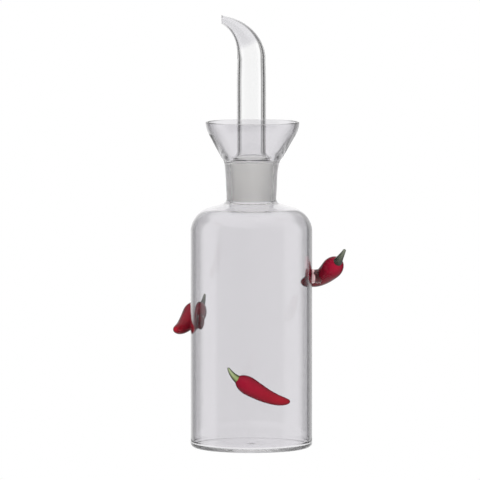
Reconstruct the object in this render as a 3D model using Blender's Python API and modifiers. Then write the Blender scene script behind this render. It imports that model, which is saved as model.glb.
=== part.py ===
"""Clear glass oil bottle with a ground-in glass pourer and three red glass chillies on its wall.

Metres, +Z up. The origin is the middle of the flat base, and the spout points to -X.
"""

import math

import bmesh
import bpy
from mathutils import Matrix, Vector

OBJECT_NAME = "oil_bottle"
GAP = 0.0003

# Bottle body, floor and shoulder
BODY_RADIUS = 0.0350
BODY_WALL = 0.0016
BASE_CORNER = 0.0026
FLOOR = 0.0024
FLOOR_CORNER = 0.0028
NUB_RADIUS = 0.0024
NUB_HEIGHT = 0.0010
SHOULDER_Z = 0.1246
SHOULDER_ROUND = 0.0140
SHOULDER_SLOPE = math.radians(16)

# Neck with its ground socket
NECK_FOOT = (0.01425, 0.1433)
NECK_FILLET = 0.00245
NECK_TAPER = 0.048
SOCKET_FOOT = (0.0112, 0.1420)
SOCKET_FILLET = 0.0016
SOCKET_TOP_Z = 0.1646
GROUND_TAPER = 0.05

# Funnel mouth
FUNNEL_ANGLE = math.radians(28.1)
FUNNEL_START_Z = 0.1582
THROAT = [(0.01775, 0.1671), (0.0163, 0.1653), (0.01555, 0.1628)]
FUNNEL_FOOT_INSIDE = (0.0137, 0.1656)
LIP_RADIUS = 0.0269
LIP_ROUND = 0.0124
LIP_Z = 0.1867
LIP_WALL = 0.0015

# Pourer: ground plug, shoulder, tube and swan-neck spout
PLUG_FOOT_Z = 0.1413
TUBE_RADIUS = 0.00835
TUBE_WALL = 0.00125
PLUG_WALL = 0.0016
FLARE_CONCAVE = 0.0030
FLARE_CONVEX = 0.0020
FLARE_Z = 0.1702
BEND_START_Z = 0.2232
BEND_TUBE_RADIUS = 0.00805
STRAIGHT_TOP_Z = 0.2120
BEND_RADIUS = 0.0240
BEND_ANGLE = math.radians(72)
TIP_RADIUS = 0.0023
TIP_WALL = 0.0009
TIP_X = -0.0171
OVERRUN = 0.0020
TIP_BLOCK = 0.02

# One chilli at size 1: its body runs from the stem end to the tip
CHILLI_LENGTH = 0.0325
CHILLI_RADIUS = 0.0052
CHILLI_HEAD = 0.22
CHILLI_HEAD_FLAT = 0.78
CHILLI_THINNING = 0.62
CHILLI_THINNING_POWER = 1.25
CHILLI_TIP_POWER = 12
CHILLI_TIP_BLUNT = 0.03
CHILLI_DROP = math.radians(32)
CHILLI_LIFT = math.radians(35)
CHILLI_SEAT = 0.47
STEM_LENGTH = 0.0085
STEM_RADII = (0.0023, 0.0008)
STEM_RISE = (math.radians(36), math.radians(66))
FOOT_RADIUS = 0.0042
FOOT_SPREAD = 1.08
FOOT_DEPTH = 0.0015
FOOT_OVERLAP = 0.5

# Name: azimuth from the front, height, lean of stem's end, body's stem end and tip, roll, clearance,
# size, foot rise
CHILLIES = {
    "front": (7.6, 0.0352, (0.0, 0.0, 0.0), 0.0, 0.0016, 1.03, 0.0),
    "right": (104.0, 0.0984, (-80.0, -10.0, -26.0), -2.0, 0.0034, 1.18, -0.0006),
    "left": (-118.5, 0.0708, (-14.0, -14.0, -4.0), -8.0, 0.0016, 1.18, 0.0),
}

BOTTLE_STEPS = 52
POURER_SIDES = 28
CHILLI_SIDES = 12
STEM_SIDES = 8
STEM_STEPS = 5


def clear_scene():
    for obj in list(bpy.data.objects):
        bpy.data.objects.remove(obj, do_unlink=True)


def new_collection(name, hidden=False):
    collection = bpy.data.collections.new(name)
    bpy.context.scene.collection.children.link(collection)
    collection.hide_render = hidden
    return collection


def material(name, colour, roughness, transmission):
    """A glass finish: colour, roughness and how much light passes."""
    made = bpy.data.materials.new(name)
    made.use_nodes = True
    shader = made.node_tree.nodes["Principled BSDF"]
    shader.inputs["Base Color"].default_value = (*colour, 1.0)
    shader.inputs["Roughness"].default_value = roughness
    shader.inputs["Metallic"].default_value = 0.0
    shader.inputs["IOR"].default_value = 1.47
    shader.inputs["Transmission Weight"].default_value = transmission
    made.diffuse_color = (*colour, 1.0)
    return made


def arc(centre, radius, start, end, steps):
    """Points (r, z) on an arc, from angle start to angle end, both in radians."""
    turns = [start + (end - start) * i / steps for i in range(steps + 1)]
    return [(centre[0] + radius * math.cos(a), centre[1] + radius * math.sin(a)) for a in turns]


def meet_z(point, slope, r):
    """Height at radius r on a line that falls outward from a point at a slope angle."""
    return point[1] + (point[0] - r) * math.tan(slope)


def fillet_under(line_point, slope, neck_r, radius):
    """Arc centre of a fillet between a sloping shoulder and an upright neck of radius neck_r."""
    centre_r = neck_r + radius
    touch_r = centre_r - radius * math.sin(slope)
    return centre_r, meet_z(line_point, slope, touch_r) + radius * math.cos(slope)


def inner_profile():
    """The inside of the bottle, from the floor's middle up to the funnel's lip."""
    wall_r = BODY_RADIUS - BODY_WALL
    nub = [(NUB_RADIUS * math.sin(a), FLOOR + NUB_HEIGHT * math.cos(a))
           for a in (i * math.pi / 6 for i in range(4))]
    corner = arc((wall_r - FLOOR_CORNER, FLOOR + FLOOR_CORNER), FLOOR_CORNER, -math.pi / 2, 0, 4)
    crown = arc((BODY_RADIUS - SHOULDER_ROUND, SHOULDER_Z), SHOULDER_ROUND - BODY_WALL,
                0, math.pi / 2 - SHOULDER_SLOPE, 7)
    root = fillet_under(crown[-1], SHOULDER_SLOPE, SOCKET_FOOT[0], SOCKET_FILLET)
    fillet = arc(root, SOCKET_FILLET, -math.pi / 2 - SHOULDER_SLOPE, -math.pi, 3)
    socket_top = (SOCKET_FOOT[0] + GROUND_TAPER * (SOCKET_TOP_Z - SOCKET_FOOT[1]), SOCKET_TOP_Z)
    lip = arc((LIP_RADIUS - LIP_ROUND, LIP_Z), LIP_ROUND - LIP_WALL, -FUNNEL_ANGLE, 0, 3)
    return nub + corner + crown + fillet + [socket_top, FUNNEL_FOOT_INSIDE] + lip


def outer_profile():
    """The outside of the bottle, from the funnel's lip down to the base's middle."""
    lip = arc((LIP_RADIUS - LIP_ROUND, LIP_Z), LIP_ROUND, 0, -FUNNEL_ANGLE, 3)
    neck_top = (NECK_FOOT[0] + NECK_TAPER * (FUNNEL_START_Z - NECK_FOOT[1]), FUNNEL_START_Z)
    crown = arc((BODY_RADIUS - SHOULDER_ROUND, SHOULDER_Z), SHOULDER_ROUND,
                math.pi / 2 - SHOULDER_SLOPE, 0, 8)
    root = fillet_under(crown[0], SHOULDER_SLOPE, NECK_FOOT[0], NECK_FILLET)
    fillet = arc(root, NECK_FILLET, -math.pi, -math.pi / 2 - SHOULDER_SLOPE, 3)
    base = arc((BODY_RADIUS - BASE_CORNER, BASE_CORNER), BASE_CORNER, 0, -math.pi / 2, 4)
    return lip + THROAT + [neck_top] + fillet + crown + base + [(0.0, 0.0)]


def rim_profile():
    """The rounded top of the lip, from inside to outside, without its two ends."""
    half = LIP_WALL / 2
    return arc((LIP_RADIUS - half, LIP_Z), half, math.pi, 0, 4)[1:-1]


def build_bottle(collection, finish):
    profile = inner_profile() + rim_profile() + outer_profile()
    mesh = bpy.data.meshes.new("bottle")
    form = bmesh.new()
    verts = [form.verts.new((r, 0.0, z)) for r, z in profile]
    for a, b in zip(verts, verts[1:]):
        form.edges.new((a, b))
    form.to_mesh(mesh)
    form.free()
    bottle = bpy.data.objects.new("bottle", mesh)
    collection.objects.link(bottle)
    turn = bottle.modifiers.new("turn", "SCREW")
    turn.steps = BOTTLE_STEPS
    turn.render_steps = BOTTLE_STEPS
    turn.use_merge_vertices = True
    turn.merge_threshold = 0.00001
    turn.use_smooth_shade = True
    mesh.materials.append(finish)
    return bottle


def shade(mesh):
    mesh.shade_smooth()
    mesh.set_sharp_from_angle(angle=math.radians(40))


def swept_mesh(name, points, radii, sides):
    """A round bar along the points, with its own radius at each, as one closed mesh."""
    curve = bpy.data.curves.new(name, "CURVE")
    curve.dimensions = "3D"
    curve.bevel_depth = max(radii)
    curve.bevel_resolution = (sides - 4) // 2
    curve.use_fill_caps = True
    spline = curve.splines.new("POLY")
    spline.points.add(len(points) - 1)
    for point, place, radius in zip(spline.points, points, radii):
        point.co = (*place, 1.0)
        point.radius = radius / curve.bevel_depth
    holder = bpy.data.objects.new(name, curve)
    bpy.context.scene.collection.objects.link(holder)
    evaluated = holder.evaluated_get(bpy.context.evaluated_depsgraph_get())
    mesh = bpy.data.meshes.new_from_object(evaluated)
    mesh.name = name
    bpy.data.objects.remove(holder)
    bpy.data.curves.remove(curve)
    form = bmesh.new()
    form.from_mesh(mesh)
    bmesh.ops.remove_doubles(form, verts=form.verts, dist=0.000001)
    bmesh.ops.recalc_face_normals(form, faces=form.faces)
    form.to_mesh(mesh)
    form.free()
    shade(mesh)
    return mesh


def add_object(name, mesh, collection, parent=None, finish=None):
    obj = bpy.data.objects.new(name, mesh)
    collection.objects.link(obj)
    obj.parent = parent
    if finish:
        mesh.materials.clear()
        mesh.materials.append(finish)
    return obj


def add_cutter(name, mesh, cutters, parent=None):
    cutter = add_object(name, mesh, cutters, parent)
    cutter.display_type = "WIRE"
    cutter.hide_render = True
    return cutter


def cut(target, cutter):
    step = target.modifiers.new(cutter.name, "BOOLEAN")
    step.operation = "DIFFERENCE"
    step.solver = "EXACT"
    step.object = cutter


def bend_point(angle):
    """Centre of the spout after the bend has turned by an angle."""
    return (BEND_RADIUS * (math.cos(angle) - 1), 0.0, BEND_START_Z + BEND_RADIUS * math.sin(angle))


def narrowing(t):
    """How far the spout has narrowed, 0 to 1, along its bend."""
    return t * t * (2.2 - 1.2 * t)


def pourer_rings(inset, tip_inset, foot_inset, overrun):
    """Centres and radii along the pourer, drawn in by the wall for its bore."""
    plug_top = FLARE_Z + (FLARE_CONCAVE + FLARE_CONVEX) * math.sin(flare_angle())
    foot_z = PLUG_FOOT_Z - overrun
    foot_r = plug_radius(PLUG_FOOT_Z) - foot_inset
    centre = (TUBE_RADIUS + FLARE_CONCAVE, FLARE_Z)
    shoulder = (centre[0] + (FLARE_CONCAVE + FLARE_CONVEX) * math.cos(flare_angle()), plug_top)
    convex = arc(shoulder, FLARE_CONVEX - inset, 0, flare_angle() + math.pi, 3)
    concave = arc(centre, FLARE_CONCAVE + inset, flare_angle(), -math.pi, 4)
    upright = [(foot_r, foot_z)] + convex + concave[1:]
    upright += [(TUBE_RADIUS - inset, STRAIGHT_TOP_Z), (BEND_TUBE_RADIUS - inset, BEND_START_Z)]
    points = [(0.0, 0.0, z) for _, z in upright]
    radii = [r for r, _ in upright]
    steps = 11
    for i in range(1, steps + 1):
        t = i / steps
        points.append(bend_point(BEND_ANGLE * t))
        outside = BEND_TUBE_RADIUS + (TIP_RADIUS - BEND_TUBE_RADIUS) * narrowing(t)
        radii.append(outside - inset - (tip_inset - inset) * t)
    heading = Vector((-math.sin(BEND_ANGLE), 0.0, math.cos(BEND_ANGLE)))
    points.append(tuple(Vector(points[-1]) + heading * (OVERRUN + overrun)))
    radii.append(radii[-1])
    return points, radii


def plug_radius(z):
    return SOCKET_FOOT[0] - GAP + GROUND_TAPER * (z - SOCKET_FOOT[1])


def flare_angle():
    """Where the tube's hollow flare passes into the plug's round shoulder."""
    reach = plug_radius(SOCKET_TOP_Z) - FLARE_CONVEX - TUBE_RADIUS - FLARE_CONCAVE
    return -math.acos(reach / (FLARE_CONCAVE + FLARE_CONVEX))


def build_pourer(collection, cutters, finish):
    points, radii = pourer_rings(0.0, 0.0, 0.0, 0.0)
    solid = swept_mesh("pourer", points, radii, POURER_SIDES)
    pourer = add_object("pourer", solid, collection, finish=finish)
    bpy.ops.mesh.primitive_cube_add(size=TIP_BLOCK)
    tip_cut = bpy.context.object
    tip_cut.name = "tip_cut"
    tip_cut.location = (TIP_X - TIP_BLOCK / 2, 0.0, bend_point(BEND_ANGLE)[2])
    tip_cut.display_type = "WIRE"
    tip_cut.hide_render = True
    for holder in list(tip_cut.users_collection):
        holder.objects.unlink(tip_cut)
    cutters.objects.link(tip_cut)
    cut(pourer, tip_cut)
    points, radii = pourer_rings(TUBE_WALL, TIP_WALL, PLUG_WALL, OVERRUN)
    cut(pourer, add_cutter("bore", swept_mesh("bore", points, radii, POURER_SIDES), cutters))
    return pourer


def chilli_radius(s):
    """Radius of a chilli of size 1 at s, from 0 at its stem end to 1 at its tip."""
    if s < CHILLI_HEAD:
        return CHILLI_RADIUS * math.sqrt(1 - CHILLI_HEAD_FLAT * (1 - s / CHILLI_HEAD) ** 2)
    u = (s - CHILLI_HEAD) / (1 - CHILLI_HEAD)
    thinning = 1 - CHILLI_THINNING * u ** CHILLI_THINNING_POWER
    return CHILLI_RADIUS * thinning * math.sqrt(max(1 - u ** CHILLI_TIP_POWER, CHILLI_TIP_BLUNT))


def chilli_heading(s, lean):
    """Direction along the chilli at s: right, up and outward, as seen from outside."""
    drop = CHILLI_DROP - CHILLI_LIFT * s ** 3
    tilt = math.radians(lean[1] + (lean[2] - lean[1]) * s)
    return Vector((math.cos(drop) * math.cos(tilt), -math.sin(drop), math.cos(drop) * math.sin(tilt)))


def stem_heading(t, lean):
    """Direction along the stem at t, from 0 at the body to 1 at its end."""
    rise = STEM_RISE[0] + (STEM_RISE[1] - STEM_RISE[0]) * t
    tilt = math.radians(lean[1] + (lean[0] - lean[1]) * t * t)
    return Vector((-math.cos(rise) * math.cos(tilt), math.sin(rise), -math.cos(rise) * math.sin(tilt)))


def walk(start, headings, step):
    """Points reached from start by steps along the headings, each taken halfway."""
    points = [start]
    for a, b in zip(headings, headings[1:]):
        points.append(points[-1] + (a + b) * (step / 2))
    return points


def chilli_line(size, lean, roll, height):
    """Centre lines of body and stem, seated over the origin at a height above the wall."""
    places = [0, 0.04, 0.1, 0.16, 0.22, 0.3, 0.38, CHILLI_SEAT, 0.56, 0.65, 0.74, 0.83, 0.9, 0.96, 1]
    body = [Vector((0, 0, 0))]
    for a, b in zip(places, places[1:]):
        body.append(body[-1] + chilli_heading((a + b) / 2, lean) * ((b - a) * CHILLI_LENGTH * size))
    up = [stem_heading(i / STEM_STEPS, lean) for i in range(STEM_STEPS + 1)]
    stem = walk(body[0] + up[0] * GAP, up, STEM_LENGTH * size / STEM_STEPS)
    seat = body[places.index(CHILLI_SEAT)].copy()
    turn = Matrix.Rotation(math.radians(-roll), 3, "Z")
    lift = Vector((0, 0, height))
    body = [turn @ (p - seat) + lift for p in body]
    stem = [turn @ (p - seat) + lift for p in stem]
    return places, body, stem


def build_chilli(name, values, collection, cutters, wall, finishes):
    azimuth, z, lean, roll, clearance, size, foot_rise = values
    angle = math.radians(azimuth)
    holder = bpy.data.objects.new(f"chilli_{name}", None)
    collection.objects.link(holder)
    right = Vector((math.cos(angle), math.sin(angle), 0))
    out = Vector((math.sin(angle), -math.cos(angle), 0))
    frame = Matrix((right, Vector((0, 0, 1)), out)).transposed().to_4x4()
    holder.matrix_world = Matrix.Translation(out * BODY_RADIUS + Vector((0, 0, z))) @ frame

    height = clearance + chilli_radius(CHILLI_SEAT) * size
    places, line, stem_line = chilli_line(size, lean, roll, height)
    radii = [chilli_radius(s) * size for s in places]
    body = swept_mesh(f"chilli_{name}_body", line, radii, CHILLI_SIDES)
    add_object(f"chilli_{name}_body", body, collection, holder, finishes["red"])

    stem_radii = [size * (STEM_RADII[0] + (STEM_RADII[1] - STEM_RADII[0]) * i / STEM_STEPS)
                  for i in range(STEM_STEPS + 1)]
    stem = swept_mesh(f"chilli_{name}_stem", stem_line, stem_radii, STEM_SIDES)
    add_object(f"chilli_{name}_stem", stem, collection, holder, finishes["green"])

    foot_mesh = bpy.data.meshes.new(f"chilli_{name}_foot")
    form = bmesh.new()
    top = height - FOOT_OVERLAP * chilli_radius(CHILLI_SEAT) * size
    bmesh.ops.create_cone(form, cap_ends=True, segments=16, radius1=FOOT_RADIUS * FOOT_SPREAD,
                          radius2=FOOT_RADIUS, depth=top + FOOT_DEPTH,
                          matrix=Matrix.Translation((0, foot_rise, (top - FOOT_DEPTH) / 2)))
    form.to_mesh(foot_mesh)
    form.free()
    shade(foot_mesh)
    foot = add_object(f"chilli_{name}_foot", foot_mesh, collection, holder, finishes["clear"])
    grown = swept_mesh(f"room_{name}", line, [r + GAP for r in radii], CHILLI_SIDES)
    cut(foot, wall)
    cut(foot, add_cutter(f"room_{name}", grown, cutters, holder))


def wall_cutter(cutters):
    """The bottle's outer cylinder, grown by the gap, which seats each foot on the wall."""
    mesh = bpy.data.meshes.new("wall")
    form = bmesh.new()
    bmesh.ops.create_cone(form, cap_ends=True, segments=96, radius1=BODY_RADIUS + GAP,
                          radius2=BODY_RADIUS + GAP, depth=SHOULDER_Z,
                          matrix=Matrix.Translation((0, 0, SHOULDER_Z / 2)))
    form.to_mesh(mesh)
    form.free()
    return add_cutter("wall", mesh, cutters)


def main():
    clear_scene()
    parts = new_collection(OBJECT_NAME)
    cutters = new_collection("cutters", hidden=True)
    clear_glass = material("clear_glass", (0.96, 0.96, 0.97), 0.02, 1.0)
    pourer_glass = material("pourer_glass", (0.94, 0.94, 0.95), 0.03, 1.0)
    finishes = {
        "red": material("chilli_red_glass", (0.36, 0.008, 0.022), 0.06, 0.25),
        "green": material("stem_green_glass", (0.20, 0.32, 0.12), 0.08, 0.35),
        "clear": material("foot_glass", (0.95, 0.93, 0.93), 0.03, 1.0),
    }
    build_bottle(parts, clear_glass)
    build_pourer(parts, cutters, pourer_glass)
    wall = wall_cutter(cutters)
    for name, values in CHILLIES.items():
        build_chilli(name, values, parts, cutters, wall, finishes)


main()
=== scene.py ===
"""A clear glass oil bottle with a ground-in glass pourer and red glass chillies on its wall.

Lengths are in metres and angles in degrees where a name ends in _deg. +Z is up, the origin is the
middle of the flat base, and the spout points to -X.
"""

import logging
import math
from dataclasses import dataclass, field
from enum import Enum

import bmesh
import bpy
from mathutils import Matrix, Vector


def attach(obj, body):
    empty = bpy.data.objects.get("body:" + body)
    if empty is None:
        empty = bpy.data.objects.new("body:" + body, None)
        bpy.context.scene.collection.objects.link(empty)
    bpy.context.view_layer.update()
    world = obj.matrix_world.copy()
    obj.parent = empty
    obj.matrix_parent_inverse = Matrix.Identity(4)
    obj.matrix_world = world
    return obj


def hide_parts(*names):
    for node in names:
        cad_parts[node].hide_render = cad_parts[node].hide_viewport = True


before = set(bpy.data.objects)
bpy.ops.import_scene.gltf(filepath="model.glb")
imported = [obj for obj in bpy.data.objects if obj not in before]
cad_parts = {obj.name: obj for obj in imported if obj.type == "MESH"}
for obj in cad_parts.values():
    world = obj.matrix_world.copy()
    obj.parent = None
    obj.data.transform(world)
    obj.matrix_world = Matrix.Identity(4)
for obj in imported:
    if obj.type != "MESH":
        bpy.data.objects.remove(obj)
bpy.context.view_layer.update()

LOG = logging.getLogger("oil_bottle")

POLE_MERGE = 1e-7
POINT_RADIUS = 0.00004
GLASS_IOR = 1.47


class GlassSkin(Enum):
    """How a glass surface was left: fire-polished or ground matt."""

    POLISHED = 0
    GROUND = 1


class ChilliPlace(Enum):
    """The three chillies, named by where they sit in the front view."""

    FRONT = "front"
    RIGHT = "right"
    LEFT = "left"


class ColourMix:
    """A node that mixes two colours, with its sockets at hand."""

    def __init__(self, tree: bpy.types.NodeTree, first: tuple[float, float, float],
                 second: tuple[float, float, float]) -> None:
        """Adds the node.

        Args:
            tree: The material's nodes.
            first: Linear colour at factor 0.
            second: Linear colour at factor 1.
        """
        node = tree.nodes.new("ShaderNodeMix")
        node.data_type = "RGBA"
        self.factor = next(i for i in node.inputs if i.type == "VALUE")
        self.first, self.second = (i for i in node.inputs if i.type == "RGBA")
        self.result = next(o for o in node.outputs if o.type == "RGBA")
        self.first.default_value = (*first, 1.0)
        self.second.default_value = (*second, 1.0)


class LevelCurve:
    """Nodes that turn a signed reading into a light level along a smooth curve."""

    def __init__(self, tree: bpy.types.NodeTree, left: tuple[tuple[float, float], ...],
                 right: tuple[tuple[float, float], ...], reach: float) -> None:
        """Adds the nodes.

        Args:
            tree: The nodes of a material or of the world.
            left: Size of a negative reading and its level, from the middle out.
            right: Positive reading and its level, from the middle out.
            reach: The greatest reading on either side.
        """
        scale = tree.nodes.new("ShaderNodeMapRange")
        scale.inputs["From Min"].default_value = -reach
        scale.inputs["From Max"].default_value = reach
        fall = tree.nodes.new("ShaderNodeFloatCurve")
        points = [(-reading, level) for reading, level in reversed(left)] + list(right)
        curve = fall.mapping.curves[0]
        while len(curve.points) < len(points):
            curve.points.new(0.5, 0.5)
        for point, (reading, level) in zip(curve.points, points):
            point.location = (0.5 + 0.5 * reading / reach, level)
            point.handle_type = "AUTO_CLAMPED"
        fall.mapping.update()
        tree.links.new(scale.outputs["Result"], fall.inputs["Value"])
        self.reading = scale.inputs["Value"]
        self.level = fall.outputs["Value"]


def new_glass(name: str) -> tuple[bpy.types.Material, bpy.types.ShaderNode]:
    """Makes a material whose shader bends light as the bottle's glass does.

    Args:
        name: Name of the material.

    Returns:
        The material and its shader.
    """
    made = bpy.data.materials.new(name)
    made.use_nodes = True
    shader = made.node_tree.nodes["Principled BSDF"]
    shader.inputs["IOR"].default_value = GLASS_IOR
    return made, shader


def add_noise(tree: bpy.types.NodeTree, scale: float, detail: float) -> bpy.types.ShaderNode:
    """Adds a noise pattern.

    Args:
        tree: The material's nodes.
        scale: Grains per metre.
        detail: Levels of finer noise in it.

    Returns:
        The noise node.
    """
    noise = tree.nodes.new("ShaderNodeTexNoise")
    noise.inputs["Scale"].default_value = scale
    noise.inputs["Detail"].default_value = detail
    return noise


def add_relief(tree: bpy.types.NodeTree, pattern: bpy.types.ShaderNode, share: float, depth: float) -> None:
    """Lets a noise pattern raise the surface a little.

    Args:
        tree: The material's nodes.
        pattern: The noise whose value is the height.
        share: How much of the relief shows, 0 to 1.
        depth: Height of the relief in metres.
    """
    relief = tree.nodes.new("ShaderNodeBump")
    relief.inputs["Strength"].default_value = share
    relief.inputs["Distance"].default_value = depth
    tree.links.new(pattern.outputs["Fac"], relief.inputs["Height"])
    tree.links.new(relief.outputs["Normal"], tree.nodes["Principled BSDF"].inputs["Normal"])


@dataclass(frozen=True)
class ClearGlassFinish:
    """Polished lampworked glass, with faint drawing ripples.

    Attributes:
        name: Name of the material.
        tint: Linear colour that light keeps on its way through.
        ripple: Depth of the drawing ripples in metres.
        ripple_scale: Ripples per metre, across and along the axis.
    """

    name: str
    tint: tuple[float, float, float]
    ripple: float = 0.00002
    ripple_scale: tuple[float, float] = (70.0, 14.0)

    def build(self) -> bpy.types.Material:
        """Makes the material.

        Returns:
            A glass whose normals waver a little.
        """
        made, shader = new_glass(self.name)
        tree = made.node_tree
        shader.inputs["Base Color"].default_value = (*self.tint, 1.0)
        shader.inputs["Roughness"].default_value = 0.0
        shader.inputs["Transmission Weight"].default_value = 1.0
        place = tree.nodes.new("ShaderNodeTexCoord")
        stretch = tree.nodes.new("ShaderNodeMapping")
        across, along = self.ripple_scale
        stretch.inputs["Scale"].default_value = (across, across, along)
        waver = add_noise(tree, 1.0, 1.0)
        tree.links.new(place.outputs["Object"], stretch.inputs["Vector"])
        tree.links.new(stretch.outputs["Vector"], waver.inputs["Vector"])
        add_relief(tree, waver, 1.0, self.ripple)
        return made


@dataclass(frozen=True)
class DrawnTubeFinish(ClearGlassFinish):
    """Clear tube glass that turns a shade greyer past the start of its bend.

    Attributes:
        bend_tint: Linear colour that light keeps in the bend.
        bend_way: Direction of the tube where the shade changes.
        bend_reach: Distances along that direction between which it changes.
    """

    bend_tint: tuple[float, float, float] = (0.875, 0.872, 0.885)
    bend_way: tuple[float, float, float] = (-0.39, 0.0, 0.92)
    bend_reach: tuple[float, float] = (0.2115, 0.2160)

    def build(self) -> bpy.types.Material:
        """Makes the material.

        Returns:
            The clear glass, with its colour eased from the straight tube to the bend.
        """
        made = super().build()
        tree = made.node_tree
        shader = tree.nodes["Principled BSDF"]
        place = tree.nodes["Texture Coordinate"]
        onward = tree.nodes.new("ShaderNodeVectorMath")
        onward.operation = "DOT_PRODUCT"
        onward.inputs[1].default_value = self.bend_way
        ease = tree.nodes.new("ShaderNodeMapRange")
        ease.interpolation_type = "SMOOTHSTEP"
        ease.inputs["From Min"].default_value = self.bend_reach[0]
        ease.inputs["From Max"].default_value = self.bend_reach[1]
        shade = ColourMix(tree, self.tint, self.bend_tint)
        tree.links.new(place.outputs["Object"], onward.inputs[0])
        tree.links.new(onward.outputs["Value"], ease.inputs["Value"])
        tree.links.new(ease.outputs["Result"], shade.factor)
        tree.links.new(shade.result, shader.inputs["Base Color"])
        return made


@dataclass(frozen=True)
class GroundGlassFinish:
    """Glass ground matt for a tight joint: a fine grain with faint turned bands.

    Attributes:
        name: Name of the material.
        tint: Linear colour that light keeps on its way through.
        roughness: Least and most roughness between the bands.
        band_scale: Bands per metre, across and along the axis.
        grain_scale: Grains per metre.
        grain_share: How much of the grain's relief shows.
        grain: Depth of the grain in metres.
        clarity: How much of the light passes through instead of scattering back.
    """

    name: str
    tint: tuple[float, float, float]
    roughness: tuple[float, float] = (0.34, 0.42)
    band_scale: tuple[float, float] = (60.0, 1400.0)
    grain_scale: float = 2600.0
    grain_share: float = 0.5
    grain: float = 0.00001
    clarity: float = 0.78

    def build(self) -> bpy.types.Material:
        """Makes the material.

        Returns:
            A matt glass, banded round its axis.
        """
        made, shader = new_glass(self.name)
        tree = made.node_tree
        shader.inputs["Base Color"].default_value = (*self.tint, 1.0)
        shader.inputs["Transmission Weight"].default_value = self.clarity
        place = tree.nodes.new("ShaderNodeTexCoord")
        flatten = tree.nodes.new("ShaderNodeMapping")
        across, along = self.band_scale
        flatten.inputs["Scale"].default_value = (across, across, along)
        bands = add_noise(tree, 1.0, 3.0)
        spread = tree.nodes.new("ShaderNodeMapRange")
        spread.inputs["To Min"].default_value = self.roughness[0]
        spread.inputs["To Max"].default_value = self.roughness[1]
        grit = add_noise(tree, self.grain_scale, 2.0)
        tree.links.new(place.outputs["Object"], flatten.inputs["Vector"])
        tree.links.new(flatten.outputs["Vector"], bands.inputs["Vector"])
        tree.links.new(bands.outputs["Fac"], spread.inputs["Value"])
        tree.links.new(spread.outputs["Result"], shader.inputs["Roughness"])
        tree.links.new(place.outputs["Object"], grit.inputs["Vector"])
        add_relief(tree, grit, self.grain_share, self.grain)
        return made


@dataclass(frozen=True)
class ColouredGlassFinish:
    """Deep coloured glass, with painted shade where it is seen edge-on and painted light brightening it
    towards its thin end.

    Attributes:
        name: Name of the material.
        thick: Linear colour of the thick end.
        thin: Linear colour of the thin end, set lighter as painted light shining through the thin glass.
        rim: Linear colour of the painted shade where the surface turns away.
        edge_shade_reach: How far the rim colour reaches in, 0 to 1.
        roughness: Roughness of the polished surface.
        clarity: How much of the light passes through.
        shine: Strength of its reflections.
        streak_scale: Streaks per metre.
        streak_depth: Least and most brightness in the streaks.
        streak_relief: Height of the streaks in metres.
    """

    name: str
    thick: tuple[float, float, float]
    thin: tuple[float, float, float]
    rim: tuple[float, float, float]
    edge_shade_reach: float = 0.35
    roughness: float = 0.10
    clarity: float = 0.0
    shine: float = 0.2
    streak_scale: float = 160.0
    streak_depth: tuple[float, float] = (0.82, 1.14)
    streak_relief: float = 0.00012

    def build(self) -> bpy.types.Material:
        """Makes the material.

        Returns:
            A glossy glass that reads the mesh attribute "along", 0 thick and 1 thin.
        """
        made, shader = new_glass(self.name)
        tree = made.node_tree
        shader.inputs["Roughness"].default_value = self.roughness
        shader.inputs["Specular IOR Level"].default_value = self.shine
        shader.inputs["Transmission Weight"].default_value = self.clarity
        along = tree.nodes.new("ShaderNodeAttribute")
        along.attribute_name = "along"
        # Painted light: the colour brightens from the thick end to the thin end, standing in for light
        # shining through the thinner glass.
        length = ColourMix(tree, self.thick, self.thin)
        tree.links.new(along.outputs["Fac"], length.factor)
        place = tree.nodes.new("ShaderNodeTexCoord")
        streaks = add_noise(tree, self.streak_scale, 2.0)
        depth = tree.nodes.new("ShaderNodeMapRange")
        depth.inputs["To Min"].default_value = self.streak_depth[0]
        depth.inputs["To Max"].default_value = self.streak_depth[1]
        vary = tree.nodes.new("ShaderNodeVectorMath")
        vary.operation = "SCALE"
        tree.links.new(place.outputs["Object"], streaks.inputs["Vector"])
        tree.links.new(streaks.outputs["Fac"], depth.inputs["Value"])
        tree.links.new(length.result, vary.inputs[0])
        tree.links.new(depth.outputs["Result"], vary.inputs["Scale"])
        # Painted shade: Layer Weight's facing darkens the colour to the rim colour where the surface turns
        # away.
        turned = tree.nodes.new("ShaderNodeLayerWeight")
        turned.inputs["Blend"].default_value = self.edge_shade_reach
        edge = ColourMix(tree, self.thick, self.rim)
        tree.links.new(turned.outputs["Facing"], edge.factor)
        tree.links.new(vary.outputs["Vector"], edge.first)
        tree.links.new(edge.result, shader.inputs["Base Color"])
        add_relief(tree, streaks, 1.0, self.streak_relief)
        return made


@dataclass(frozen=True)
class Corner:
    """A corner of an outline that is turned round the bottle's axis.

    Attributes:
        r: Distance from the axis.
        z: Height.
        rounding: Radius of the arc that rounds it, or 0 for a plain corner.
        steps: Faces along the arc.
    """

    r: float
    z: float
    rounding: float = 0.0
    steps: int = 5


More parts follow.
